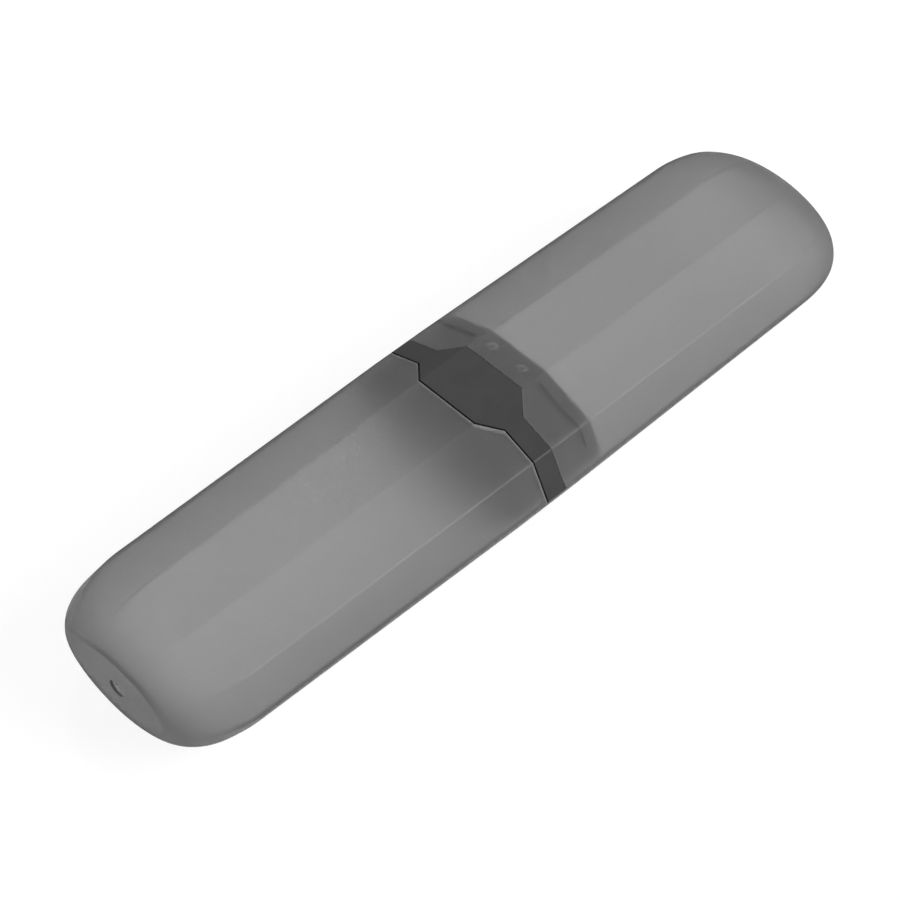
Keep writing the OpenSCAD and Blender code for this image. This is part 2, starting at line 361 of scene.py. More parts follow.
class CaseStudio(bpy.types.PropertyGroup):
    """Floor, light and camera"""

    floor_size: bpy.props.FloatProperty(
        name="Floor", description="Side of the square floor", unit="LENGTH", default=12.0)
    floor_colour: bpy.props.FloatVectorProperty(
        name="Floor Colour", description="Colour of the floor", subtype="COLOR", min=0, max=1,
        default=(0.22, 0.22, 0.22))
    floor_glow: bpy.props.FloatProperty(
        name="Floor Glow", description="Light the floor shows to the camera and through the "
        "shells, on top of what the lamps give it", min=0, max=1, default=0.88)
    sky_light: bpy.props.FloatProperty(
        name="Surround Light", description="Strength of the surround as a lamp", min=0, max=2,
        default=0.45)
    horizon: bpy.props.FloatProperty(
        name="Horizon", description="Strength of the surround at the horizon, where 1 is white",
        min=0, max=1, default=0.55)
    key_place: bpy.props.FloatVectorProperty(
        name="Key Place", description="Where the large lamp stands", subtype="TRANSLATION",
        unit="LENGTH", default=(0.72, -1.12, 0.89))
    key_power: bpy.props.FloatProperty(
        name="Key Light", description="Power of the large lamp behind the camera, in watts",
        min=0, default=19.0)
    key_size: bpy.props.FloatProperty(
        name="Key Size", description="Side of the large lamp", unit="LENGTH", default=1.0)
    glint_place: bpy.props.FloatVectorProperty(
        name="Glint Place", description="Where the small lamp stands, behind the case",
        subtype="TRANSLATION", unit="LENGTH", default=(0.52, 0.72, 1.21))
    glint_power: bpy.props.FloatProperty(
        name="Glint Light", description="Power of the small lamp, in watts", min=0,
        default=2.2)
    glint_size: bpy.props.FloatProperty(
        name="Glint Size", description="Side of the small lamp", unit="LENGTH", default=0.25)
    lens: bpy.props.FloatProperty(
        name="Lens", description="Focal length in millimetres", unit="CAMERA", default=115.26)
    stand: bpy.props.FloatVectorProperty(
        name="Camera Place", description="Where the camera stands", subtype="TRANSLATION",
        unit="LENGTH", default=(-317.07 * MM, -319.02 * MM, 539.66 * MM))
    aim: bpy.props.FloatVectorProperty(
        name="Aim", description="Point in the middle of the picture", subtype="TRANSLATION",
        unit="LENGTH", default=(-8.37 * MM, -1.64 * MM, 15.8 * MM))
    roll: bpy.props.FloatProperty(
        name="Roll", description="Turn of the camera about its own line of sight",
        subtype="ANGLE", default=math.radians(0.16))


class TravelCase(bpy.types.PropertyGroup):
    """All settings of the travel case"""

    case: bpy.props.PointerProperty(type=CaseSizes)
    shell: bpy.props.PointerProperty(type=ShellSizes)
    collar: bpy.props.PointerProperty(type=CollarSizes)
    finish: bpy.props.PointerProperty(type=CaseFinish)
    studio: bpy.props.PointerProperty(type=CaseStudio)


# Selecting and shaping


def pick(piece, chosen):
    """Selects the vertices whose places chosen accepts, with the edges and faces between them."""
    bpy.ops.mesh.select_all(action="DESELECT")
    mesh = bmesh.from_edit_mesh(piece.data)
    for vertex in mesh.verts:
        vertex.select = chosen(vertex.co)
    mesh.select_flush(True)
    bmesh.update_edit_mesh(piece.data)


def pick_edges(piece, chosen):
    """Selects the edges that chosen accepts."""
    bpy.ops.mesh.select_all(action="DESELECT")
    mesh = bmesh.from_edit_mesh(piece.data)
    for edge in mesh.edges:
        if chosen(edge):
            edge.select_set(True)
    bmesh.update_edit_mesh(piece.data)


def narrow(piece, chosen):
    """Keeps those of the selected vertices whose places chosen accepts."""
    mesh = bmesh.from_edit_mesh(piece.data)
    for vertex in mesh.verts:
        vertex.select = vertex.select and chosen(vertex.co)
    mesh.select_flush_mode()
    mesh.select_flush(False)
    bmesh.update_edit_mesh(piece.data)


def select_only(piece):
    """Makes the piece the one that the next object operator acts on."""
    bpy.ops.object.select_all(action="DESELECT")
    bpy.context.view_layer.objects.active = piece
    piece.select_set(True)


def add_modifier(piece, kind):
    """Adds a modifier to the piece and selects the piece alone."""
    select_only(piece)
    bpy.ops.object.modifier_add(type=kind)
    return piece.modifiers[-1]


def start_piece(name):
    """Adds an empty mesh object at the origin and opens it for modelling."""
    bpy.ops.object.select_all(action="DESELECT")
    bpy.ops.object.add(type="MESH")
    piece = bpy.context.object
    piece.name = name
    piece.data.name = name
    bpy.ops.object.mode_set(mode="EDIT")
    bpy.ops.mesh.select_mode(type="VERT")
    return piece


def close_piece():
    """Merges doubles, turns the faces outwards and leaves edit mode."""
    bpy.ops.mesh.select_all(action="SELECT")
    bpy.ops.mesh.remove_doubles(threshold=TINY)
    bpy.ops.mesh.normals_make_consistent(inside=False)
    bpy.ops.object.mode_set(mode="OBJECT")


def carve(piece, tool, operation):
    """Cuts, joins or intersects the piece with a tool, and removes the tool."""
    modifier = add_modifier(piece, "BOOLEAN")
    modifier.operation = operation
    modifier.object = tool
    modifier.solver = "EXACT"
    bpy.ops.object.modifier_apply(modifier=modifier.name)
    bpy.data.objects.remove(tool)


# The case's section and its profiles


def half_sizes(sizes, x):
    """Half the case's width and height at x, on sides that lean in from the pad's ends on."""
    case = sizes.case
    lean = max(0.0, abs(x) - sizes.collar.pad_length / 2) * math.tan(case.draft)
    return case.width / 2 - lean, case.height / 2 - lean


def rib_place(collar):
    """Distance of the snap ribs from the middle of the case."""
    return collar.belt / 2 + collar.rib_reach


def pad_flat(case):
    """Half the width over which the pad has its full length, which is the flat top's."""
    return CORNER_SHARES[2][0] * case.width / 2


def arc_drop(along, turned):
    """How far a profile has dropped, from 0 to 1, at a share of the way along its rounding."""
    whole = 1 - math.sqrt(1 - turned**2)
    return (1 - math.sqrt(max(0.0, 1 - (along * turned) ** 2))) / whole


def past(x, start, reach):
    """Share of the way from start over reach, from 0 to 1."""
    return min(1.0, max(0.0, (x - start) / reach))


def with_neighbours(wide, slant, top):
    """Each of the section's three corners between the two that it has on either side."""
    outline = [Vector((slant.x, -slant.y)), wide, slant, top, Vector((-top.x, top.y))]
    return zip(outline, outline[1:], outline[2:])


def section_corners(half_w, half_h, cut):
    """The section's three corners from the widest edge to the top, each facet moved in by cut."""
    sharp = [Vector((y * half_w, z * half_h)) for y, z in CORNER_SHARES]
    corners = []
    for before, corner, after in with_neighbours(*sharp):
        first = (corner - before).normalized()
        second = (after - corner).normalized()
        start = corner + cut * Vector((-first.y, first.x))
        other = corner + cut * Vector((-second.y, second.x))
        corners.append(start + first * (other - start).cross(second) / first.cross(second))
    return corners


def draw_section(piece, x, corners, radius, cuts):
    """Draws a ring of the ten-sided section at x, with rounded corners and points on its facets."""
    bpy.ops.mesh.primitive_circle_add(
        vertices=SIDES, radius=1.0, fill_type="NGON", location=(x, 0, 0),
        rotation=(0, math.radians(90), 0))
    for step, corner in enumerate(corners):
        across = math.cos(step * math.tau / SIDES)
        up = math.sin(step * math.tau / SIDES)
        pick(piece, lambda co: math.hypot(abs(co.y) - across, abs(co.z) - up) < TINY)
        shape = (1, corner.x / across, corner.y / up if up > TINY else 1)
        bpy.ops.transform.resize(value=shape, center_override=(x, 0, 0))
    for before, corner, after in with_neighbours(*corners):
        turn = (corner - before).angle(after - corner)
        pick(piece, lambda co: math.hypot(abs(co.y) - corner.x, abs(co.z) - corner.y) < TINY)
        bpy.ops.mesh.bevel(
            affect="VERTICES", offset_type="OFFSET", offset=radius * math.tan(turn / 2),
            segments=EDGE_SEGMENTS, profile=0.5)
    bpy.ops.mesh.select_all(action="SELECT")
    bpy.ops.mesh.delete(type="ONLY_FACE")
    if cuts:
        pick_edges(piece, lambda edge: edge.calc_length() > radius)
        bpy.ops.mesh.subdivide(number_cuts=cuts)
    bpy.ops.mesh.select_all(action="SELECT")


def melt_ring(piece, centre, share):
    """Draws the selected ring, whose half sizes are 1, a share of the way to a circle."""
    points = [v.co for v in bmesh.from_edit_mesh(piece.data).verts if v.select]
    mean = sum(math.hypot(p.y, p.z) for p in points) / len(points)
    pull = share / (share + (1 - share) * mean)
    grow = 1 - share + share / mean
    bpy.ops.transform.tosphere(value=pull, center_override=centre)
    bpy.ops.transform.resize(value=(1, grow, grow), center_override=centre)


def loft(piece, stations):
    """Extrudes the selected ring from station to station, each with its own size and melt."""
    for last, here in zip(stations, stations[1:]):
        centre = (here.x, 0, 0)
        step = (here.x - last.x, 0, 0)
        bpy.ops.mesh.extrude_region_move(TRANSFORM_OT_translate={"value": step})
        if here.melt > last.melt:
            unit = (1, 1 / last.half_w, 1 / last.half_h)
            bpy.ops.transform.resize(value=unit, center_override=centre)
            melt_ring(piece, centre, (here.melt - last.melt) / (1 - last.melt))
            size = (1, here.half_w, here.half_h)
        else:
            size = (1, here.half_w / last.half_w, here.half_h / last.half_h)
        bpy.ops.transform.resize(value=size, center_override=centre)


def cap_ring():
    """Closes the selected ring with a fan of faces."""
    bpy.ops.mesh.extrude_region_move(TRANSFORM_OT_translate={"value": (0, 0, 0)})
    bpy.ops.mesh.merge(type="CENTER")


def close_tube(piece, x):
    """Joins the last ring of a loft to its first, both at x, and closes the piece."""
    pick(piece, lambda co: abs(co.x - x) < TINY)
    bpy.ops.mesh.bridge_edge_loops()
    close_piece()


def skin_station(sizes, x, cut, end_cut):
    """The ring at x of the skin that lies cut below the outside and end_cut inside the end."""
    case = sizes.case
    half_l = case.length / 2
    half_w, half_h = (half - cut for half in half_sizes(sizes, x))
    along_side = past(x, half_l - case.side_length, case.side_length - end_cut)
    along_top = past(x, half_l - case.top_length, case.top_length - end_cut)
    step_in = CORNER_SHARE * cut
    half_w -= (half_w - case.face_width / 2 + step_in) * arc_drop(along_side, SIDE_ARC_SHARE)
    half_h -= (half_h - case.face_height / 2 + step_in) * arc_drop(along_top, TOP_ARC_SHARE)
    melt = along_side**2 * (3 - 2 * along_side)
    return Station(x, half_w, half_h, melt)


def skin_stations(sizes, cut, end_cut):
    """All rings of one skin of a shell, from the middle of the case to its closed end."""
    case = sizes.case
    start = case.length / 2 - case.side_length
    reach = case.side_length - end_cut
    quarter = math.radians(90)
    places = [0.0, sizes.collar.pad_length / 2]
    places += [start + reach * math.sin(quarter * i / END_RINGS) for i in range(END_RINGS + 1)]
    return [skin_station(sizes, x, cut, end_cut) for x in places]


def gate_stations(sizes):
    """The rings that follow the end face into the gate mark and over its nub."""
    shell = sizes.shell
    end = sizes.case.length / 2
    floor = end - shell.gate_depth
    crown = floor + shell.nub_height
    gate = shell.gate_width / 2
    nub = shell.nub_width / 2
    rings = [(end, gate), (floor, gate), (floor, nub)]
    rings += [(crown - drop * nub, radius * nub) for drop, radius in NUB_RINGS]
    return [Station(x, r, r, 1.0) for x, r in rings]


# Pieces


def belt_block(sizes, seam):
    """A block with the plan outline of the belt and its pads, grown by a seam."""
    collar = sizes.collar
    case = sizes.case
    belt_half = collar.belt / 2
    pad_half = collar.pad_length / 2
    flat = pad_flat(case)
    slope = math.atan2(pad_half - belt_half, collar.pad_width / 2 - flat)
    shift = seam * math.tan(slope / 2)
    block = start_piece("belt_block")
    bpy.ops.mesh.primitive_cube_add(
        size=1, scale=(2 * (belt_half + seam), case.width + 2 * OVER, case.height + 2 * OVER))
    for y in (flat + shift, collar.pad_width / 2 + shift):
        for side in (-1, 1):
            bpy.ops.mesh.select_all(action="SELECT")
            bpy.ops.mesh.bisect(plane_co=(0, side * y, 0), plane_no=(0, 1, 0))
    for side in (-1, 1):
        pick(block, lambda co: abs(co.y) < flat + shift + TINY and co.x * side > 0)
        bpy.ops.transform.translate(value=(side * (pad_half - belt_half), 0, 0))
    close_piece()
    return block


def snap_ribs(sizes, gap, press):
    """The snap ribs on the rear tongue or, grown by a gap, the grooves they lie in.

    The crests stand higher by press, with which they lie tight against the wall.
    """
    collar = sizes.collar
    x = rib_place(collar)
    ring = section_corners(*half_sizes(sizes, x), sizes.shell.wall + collar.snap_gap)
    ring += [Vector((-p.x, p.y)) for p in reversed(ring[1:])]
    ring += [-p for p in ring]
    ribs = start_piece("snap_ribs")
    sunk = collar.tongue_wall / 2
    for facet, middle, share in RIB_SHARES:
        a = ring[facet]
        b = ring[(facet + 1) % SIDES]
        along = (b - a).normalized()
        out = Vector((along.y, -along.x))
        centre = a + (b - a) * middle - out * sunk / 2
        span = (b - a).length * share + 2 * gap
        bpy.ops.mesh.select_all(action="DESELECT")
        bpy.ops.mesh.primitive_cube_add(
            size=1, location=(x, centre.x, centre.y), scale=(collar.rib_foot + 2 * gap, span, sunk),
            rotation=(math.atan2(along.y, along.x), 0, 0))
        crest = collar.rib_height + gap + press
        narrow(ribs, lambda co: (co.yz - centre).dot(out) > 0)
        bpy.ops.mesh.extrude_region_move(
            TRANSFORM_OT_translate={"value": (0, out.x * crest, out.y * crest)})
        share_left = (collar.rib_crest + 2 * gap) / (collar.rib_foot + 2 * gap)
        bpy.ops.transform.resize(value=(share_left, 1, 1), center_override=(x, 0, 0))
    close_piece()
    return ribs


def skin(sizes, name, cut, end_cut, start, end_rings):
    """A closed body with one skin of a shell, from x = start to the closed end."""
    case = sizes.case
    piece = start_piece(name)
    corners = section_corners(case.width / 2, case.height / 2, cut)
    draw_section(piece, start, corners, case.edge_radius, FACET_CUTS)
    stations = skin_stations(sizes, cut, end_cut) + end_rings
    loft(piece, [stations[0]._replace(x=start)] + stations)
    cap_ring()
    pick(piece, lambda co: abs(co.x - start) < TINY)
    bpy.ops.mesh.edge_face_add()
    close_piece()
    return piece


def hollow_shell(sizes, name, side):
    """One hollow shell on the +X side: two skins, a mouth cut to the belt and a gate mark."""
    shell = skin(sizes, name, 0.0, 0.0, -OVER, gate_stations(sizes))
    inside = skin(sizes, "inside", sizes.shell.wall, sizes.shell.end_wall, -2 * OVER, [])
    carve(shell, inside, "DIFFERENCE")
    carve(shell, belt_block(sizes, side.seam), "DIFFERENCE")
    if side.snapped:
        carve(shell, snap_ribs(sizes, sizes.collar.groove_gap, 0.0), "DIFFERENCE")
    return shell


def tongue_station(sizes, x, cut):
    """A ring of the collar's tongues at x, cut below the case's outside."""
    half_w, half_h = half_sizes(sizes, x)
    return Station(x, section_corners(half_w, half_h, cut)[0].x, half_h - cut, 0.0)


def collar_tube(sizes):
    """The two tongues as one tube, with a lead-in chamfer at each tip."""
    collar = sizes.collar
    front_cut = sizes.shell.wall + collar.slide_gap
    rear_cut = sizes.shell.wall + collar.snap_gap
    way_cut = front_cut + collar.tongue_wall
    front_tip = -collar.belt / 2 - collar.front_tongue
    rear_tip = collar.belt / 2 + collar.rear_tongue
    pad_half = collar.pad_length / 2
    places = (
        (front_tip, front_cut + collar.lead_depth), (front_tip + collar.lead_length, front_cut),
        (-pad_half, front_cut), (-collar.belt / 2, front_cut), (collar.belt / 2, rear_cut),
        (pad_half, rear_cut), (rear_tip - collar.lead_length, rear_cut),
        (rear_tip, rear_cut + collar.lead_depth),
    )
    stations = [tongue_station(sizes, x, cut) for x, cut in places]
    way = tongue_station(sizes, 0.0, way_cut)
    stations += [way._replace(x=rear_tip), way._replace(x=front_tip)]
    tube = start_piece("collar")
    corners = section_corners(*half_sizes(sizes, front_tip), front_cut + collar.lead_depth)
    draw_section(tube, front_tip, corners, sizes.case.edge_radius, 0)
    loft(tube, stations)
    close_tube(tube, front_tip)
    return tube


def collar_belt(sizes):
    """The belt and its pads, hollow, between the two shells."""
    case = sizes.case
    collar = sizes.collar
    reach = collar.pad_length / 2 + OVER
    inner_cut = sizes.shell.wall + collar.slide_gap + collar.tongue_wall / 2
    outer = tongue_station(sizes, 0.0, 0.0)
    inner = tongue_station(sizes, 0.0, inner_cut)
    belt = start_piece("belt")
    corners = section_corners(case.width / 2, case.height / 2, 0.0)
    draw_section(belt, -reach, corners, case.edge_radius, 0)
    loft(belt, [
        outer._replace(x=-reach), outer._replace(x=reach), inner._replace(x=reach),
        inner._replace(x=-reach)])
    close_tube(belt, -reach)
    carve(belt, belt_block(sizes, 0.0), "INTERSECT")
    return belt


def round_edges(piece, width, angle):
    """Rounds the piece's edges that are sharper than an angle."""
    modifier = add_modifier(piece, "BEVEL")
    modifier.limit_method = "ANGLE"
    modifier.angle_limit = angle
    modifier.width = width
    modifier.segments = ROUND_STRIPS
    bpy.ops.object.modifier_apply(modifier=modifier.name)


def mark_skin(piece, sizes, rim_highlight):
    """Stores on the mesh which faces lie outside, how much painted highlight and gloss its rims and
    gate mark carry, and how near each point is to a long edge."""
    case = sizes.case
    shell = sizes.shell
    mesh = piece.data
    axis_end = case.length / 2 - case.side_length
    rim_end = sizes.collar.pad_length / 2 + OVER
    gate_start = case.length / 2 - 2 * shell.gate_depth
    outside = mesh.attributes.new("outside", "FLOAT", "FACE")
    rim = mesh.attributes.new("rim", "FLOAT", "FACE")
    for face in mesh.polygons:
        middle = face.center.copy()
        at_rim = abs(middle.x) < rim_end and RIM_TURN[0] < abs(face.normal.x) < RIM_TURN[1]
        from_axis = math.hypot(middle.y, middle.z)
        at_gate = (
            face.normal.x > GATE_TURN and gate_start < middle.x < case.length / 2
            and from_axis < shell.gate_width / 2 - TINY)
        middle.x -= max(-axis_end, min(axis_end, middle.x))
        outside.data[face.index].value = float(face.normal.dot(middle) > -TINY * TINY)
        # The rims and the gate mark carry a painted highlight
        rim.data[face.index].value = rim_highlight * float(at_rim) + GATE_HIGHLIGHT * float(at_gate)
    edge = mesh.attributes.new("edge", "FLOAT", "POINT")
    for vertex in mesh.vertices:
        place = Vector((abs(vertex.co.y), abs(vertex.co.z)))
        corners = section_corners(*half_sizes(sizes, vertex.co.x), 0.0)
        near = min((place - corner).length for corner in corners)
        edge.data[vertex.index].value = max(0.0, 1 - near / (WORN_SHARE * case.edge_radius))


def finish_piece(piece, sizes, turn, material, rim_highlight=0.0):
    """Turns the piece to its side, lifts it to its place, smooths it and gives it its finish."""
    select_only(piece)
    mark_skin(piece, sizes, rim_highlight)
    piece.rotation_euler.z = turn
    piece.location.z = sizes.case.height / 2
    bpy.ops.object.transform_apply(location=True, rotation=True, scale=True)
    bpy.ops.object.shade_smooth_by_angle(angle=SMOOTH_ANGLE)
    modifier = add_modifier(piece, "WEIGHTED_NORMAL")
    modifier.keep_sharp = True
    bpy.ops.object.modifier_apply(modifier=modifier.name)
    piece.data.materials.clear()
    piece.data.materials.append(material)


def case_shell(sizes, name, plastic, side):
    """One shell, modelled, rounded at its mouth, finished and turned to its side."""
    shell = hollow_shell(sizes, name, side)
    round_edges(shell, sizes.shell.mouth_round, MOUTH_ANGLE)
    finish_piece(shell, sizes, side.turn, frosted_plastic(plastic, sizes, side), side.wear)
    return shell


# Materials


def add_node(tree, kind, **inputs):
    """Adds a node and sets its inputs by name, with spaces written as underscores."""
    node = tree.nodes.new(kind)
    for name, value in inputs.items():
        node.inputs[name.replace("_", " ")].default_value = value
    return node


def new_material(name):
    """An empty node material with its output and object coordinates."""
    material = bpy.data.materials.new(name)
    material.use_nodes = True
    tree = material.node_tree
    tree.nodes.clear()
    output = tree.nodes.new("ShaderNodeOutputMaterial")
    coordinates = tree.nodes.new("ShaderNodeTexCoord")
    return material, tree, output, coordinates.outputs["Object"]


def read_mark(tree, name):
    """The value that the mesh stores under a name."""
    mark = tree.nodes.new("ShaderNodeAttribute")
    mark.attribute_name = name
    return mark.outputs["Fac"]


def blend(tree, share, low, high):
    """A socket that runs from low to high as share runs from 0 to 1. Either may be a socket."""
    mix = tree.nodes.new("ShaderNodeMix")
    for name, value in (("Factor", share), ("A", low), ("B", high)):
        if isinstance(value, bpy.types.NodeSocket):
            tree.links.new(value, mix.inputs[name])
        else:
            mix.inputs[name].default_value = value
    return mix.outputs["Result"]


def ramp(tree, value, low, high):
    """A socket that rises from 0 to 1 as a value runs from low to high."""
    node = add_node(tree, "ShaderNodeMapRange", From_Min=low, From_Max=high)
    tree.links.new(value, node.inputs["Value"])
    return node.outputs["Result"]


def noise(tree, place, scale, detail):
    """A noise of a number of waves per metre."""
    node = add_node(tree, "ShaderNodeTexNoise", Scale=scale, Detail=detail)
    tree.links.new(place, node.inputs["Vector"])
    return node.outputs["Fac"]


def arithmetic(tree, operation, *values):
    """The result of a sum on values and sockets."""
    node = tree.nodes.new("ShaderNodeMath")
    node.operation = operation
    for slot, value in zip(node.inputs, values):
        if isinstance(value, bpy.types.NodeSocket):
            tree.links.new(value, slot)
        else:
            slot.default_value = value
    return node.outputs["Value"]


def distance(tree, place, axis, start=0.0):
    """How far a place lies from start along an axis, on either side."""
    split = tree.nodes.new("ShaderNodeSeparateXYZ")
    tree.links.new(place, split.inputs["Vector"])
    return arithmetic(
        tree, "ABSOLUTE", arithmetic(tree, "SUBTRACT", split.outputs[axis], start))


def tinted(tree, colour, tint):
    """A colour that is made lighter or darker by the socket tint."""
    shade = tree.nodes.new("ShaderNodeVectorMath")
    shade.operation = "SCALE"
    shade.inputs[0].default_value = colour
    tree.links.new(tint, shade.inputs["Scale"])
    return shade.outputs["Vector"]


def relief(tree, height, depth):
    """A normal that follows the bumps of a socket, depth deep."""
    bump = add_node(tree, "ShaderNodeBump", Strength=RELIEF_SHARE, Distance=depth)
    tree.links.new(height, bump.inputs["Height"])
    return bump.outputs["Normal"]


def rib_shade_lines(tree, place, sizes):
    """A socket that is 1 in the lines of painted shade over the snap ribs, where the dark ribs show
    through the wall.
    """
    along = distance(tree, place, "X", rib_place(sizes.collar))
    side = distance(tree, place, "Y")
    breadth = sizes.shell.rib_shade_breadth
    line = ramp(tree, along, breadth, breadth / 2)
    line = arithmetic(tree, "MULTIPLY", line, ramp(tree, side, *sizes.shell.rib_shade_start))
    return arithmetic(tree, "MULTIPLY", line, ramp(tree, side, *sizes.shell.rib_shade_end))


def seam_line(tree, place, sizes, start, breadth):
    """A socket that is 1 in a line along the belt's outline, which starts a little past it, is
    full from a quarter to half of its breadth, and then fades out."""
    collar = sizes.collar
    side = distance(tree, place, "Y")
    shoulder = ramp(tree, side, pad_flat(sizes.case), collar.pad_width / 2)
    outline = blend(tree, shoulder, collar.pad_length / 2 + start, collar.belt / 2 + start)
    off = arithmetic(tree, "SUBTRACT", distance(tree, place, "X"), outline)
    line = ramp(tree, off, breadth, breadth / 2)
    return arithmetic(tree, "MULTIPLY", line, ramp(tree, off, 0.0, breadth / 4))


def pin_marks(tree, place, sizes):
    """A socket that is 1 on the ring marks over the two ribs of the flat face."""
    shell = sizes.shell
    rings = []
    for side in (-1, 1):
        apart = tree.nodes.new("ShaderNodeVectorMath")
        apart.operation = "DISTANCE"
        tree.links.new(place, apart.inputs[0])
        apart.inputs[1].default_value = (
            rib_place(sizes.collar), side * shell.pin_place, sizes.case.height)
        off = arithmetic(tree, "SUBTRACT", apart.outputs["Value"], shell.pin_ring)
        off = arithmetic(tree, "ABSOLUTE", off)
        rings.append(ramp(tree, off, shell.pin_line, 0.0))
    return arithmetic(tree, "MAXIMUM", *rings)


def specks(tree, place):
    """A socket that is 1 in small dots, in a share of the cells of a fine foam."""
    cells = add_node(tree, "ShaderNodeTexVoronoi", Scale=SPECK_CELLS)
    tree.links.new(place, cells.inputs["Vector"])
    chance = tree.nodes.new("ShaderNodeSeparateColor")
    tree.links.new(cells.outputs["Color"], chance.inputs["Color"])
    few = ramp(tree, chance.outputs["Red"], *SPECK_CHANCE)
    return arithmetic(tree, "MULTIPLY", few, ramp(tree, cells.outputs["Distance"], *SPECK_DOT))


def rubbed_edges(tree, grain):
    """A socket that rises to 1 on the long edges, broken up by the grain."""
    edge = read_mark(tree, "edge")
    return arithmetic(tree, "MULTIPLY", edge, ramp(tree, grain, *RUB_CONTRAST))


def frosted_plastic(name, sizes, side):
    """Smoke-grey translucent plastic with a spark-eroded skin, whitened at its mouth and gate mark
    as a painted highlight, and, where it is snapped on the ribs, with painted shade over them and
    painted highlights on its ring marks."""
    finish = sizes.finish
    material, tree, output, place = new_material(name)
    link = tree.links.new
    shader = add_node(
        tree, "ShaderNodeBsdfPrincipled", IOR=SHELL_IOR, Transmission_Weight=finish.clarity,
        Specular_IOR_Level=finish.gloss)
    smoke = add_node(
        tree, "ShaderNodeVolumeAbsorption", Color=(0, 0, 0, 1), Density=finish.smoke)
    link(smoke.outputs["Volume"], output.inputs["Volume"])
    cloud = noise(tree, place, *SHELL_CLOUD)
    grain = noise(tree, place, *SHELL_GRAIN)
    rim = read_mark(tree, "rim")
    tint = blend(tree, cloud, *SHELL_TINTS)
    dots = specks(tree, place)
    # Specks lightened, partly grain and partly a painted glint
    tint = blend(tree, dots, tint, finish.speck_glint_tint)
    # Painted highlight in a line along the mouth, weaker on the rear shell
    lip_highlight_mask = seam_line(tree, place, sizes, side.seam, sizes.shell.lip_width)
    lip_highlight_mask = arithmetic(tree, "MULTIPLY", lip_highlight_mask, finish.lip_highlight * side.wear)
    pale = arithmetic(tree, "MAXIMUM", rim, lip_highlight_mask)
    if side.snapped:
        # Painted shade darkens the lines over the snap ribs
        tint = blend(tree, rib_shade_lines(tree, place, sizes), tint, finish.sunk)
        # Painted highlight whitens the real ring marks
        rings = arithmetic(tree, "MULTIPLY", pin_marks(tree, place, sizes), finish.pin_highlight)
        pale = arithmetic(tree, "MAXIMUM", pale, rings)
    link(tinted(tree, side.colour, tint), shader.inputs["Base Color"])
    # Painted highlight: less clarity whitens the rims, the gate mark, the lip line and the ring
    # marks
    clarity = blend(tree, pale, finish.clarity, finish.highlight_clarity)
    link(clarity, shader.inputs["Transmission Weight"])
    skin = blend(tree, grain, finish.frost - SHELL_SWING, finish.frost + SHELL_SWING)
    skin = blend(tree, dots, skin, finish.speck)
    skin = blend(tree, rubbed_edges(tree, grain), skin, finish.worn_edge)
    skin = blend(tree, rim, skin, finish.worn_edge)
    skin = blend(tree, read_mark(tree, "outside"), finish.polish, skin)
    link(skin, shader.inputs["Roughness"])
    link(relief(tree, grain, SHELL_RELIEF), shader.inputs["Normal"])
    link(shader.outputs["BSDF"], output.inputs["Surface"])
    return material


def charcoal_plastic(name, sizes):
    """Opaque charcoal plastic with a fine satin texture, rubbed smoother on its long edges, with
    painted shade darkening it in its seams."""
    finish = sizes.finish
    material, tree, output, place = new_material(name)
    link = tree.links.new
    shader = add_node(
        tree, "ShaderNodeBsdfPrincipled", IOR=COLLAR_IOR, Specular_IOR_Level=finish.collar_gloss)
    cloud = noise(tree, place, *COLLAR_CLOUD)
    grain = noise(tree, place, *COLLAR_GRAIN)
    # Painted shade in the seams round the belt: it starts inside the belt's rounded edge, and is
    # full from its side face on
    width = sizes.collar.edge_round
    seam_shade = seam_line(tree, place, sizes, -width, 4 * width)
    tint = blend(tree, ramp(tree, cloud, *COLLAR_CONTRAST), *COLLAR_TINTS)
    # Painted shade darkens the collar in the seams round its belt
    tint = blend(tree, seam_shade, tint, finish.seam_shade_share)
    link(tinted(tree, finish.collar_colour, tint), shader.inputs["Base Color"])
    rough = finish.collar_roughness
    skin = blend(tree, grain, rough - COLLAR_SWING, rough + COLLAR_SWING)
    skin = blend(tree, rubbed_edges(tree, grain), skin, finish.worn_edge)
    skin = blend(tree, seam_shade, skin, finish.seam_shade_roughness)
    link(skin, shader.inputs["Roughness"])
    link(relief(tree, grain, COLLAR_RELIEF), shader.inputs["Normal"])
    link(shader.outputs["BSDF"], output.inputs["Surface"])
    return material


def ray_kind(tree, *kinds):
    """A socket that is 1 for rays of the kinds named, and 0 for all others."""
    path = tree.nodes.new("ShaderNodeLightPath")
    total = path.outputs[kinds[0]]
    for kind in kinds[1:]:
        total = arithmetic(tree, "MAXIMUM", total, path.outputs[kind])
    return total


def studio_floor(colour, glow):
    """A pale floor that keeps the object's shadow and glows a little towards the eye."""
    material, tree, output, _ = new_material("studio_floor")
    link = tree.links.new
    diffuse = add_node(tree, "ShaderNodeBsdfDiffuse", Color=(*colour, 1.0))
    light = tree.nodes.new("ShaderNodeEmission")
    both = tree.nodes.new("ShaderNodeAddShader")
    link(blend(tree, ray_kind(tree, *SEEN_RAYS), 0.0, glow), light.inputs["Strength"])
    link(diffuse.outputs["BSDF"], both.inputs[0])
    link(light.outputs["Emission"], both.inputs[1])
    link(both.outputs["Shader"], output.inputs["Surface"])
    return material


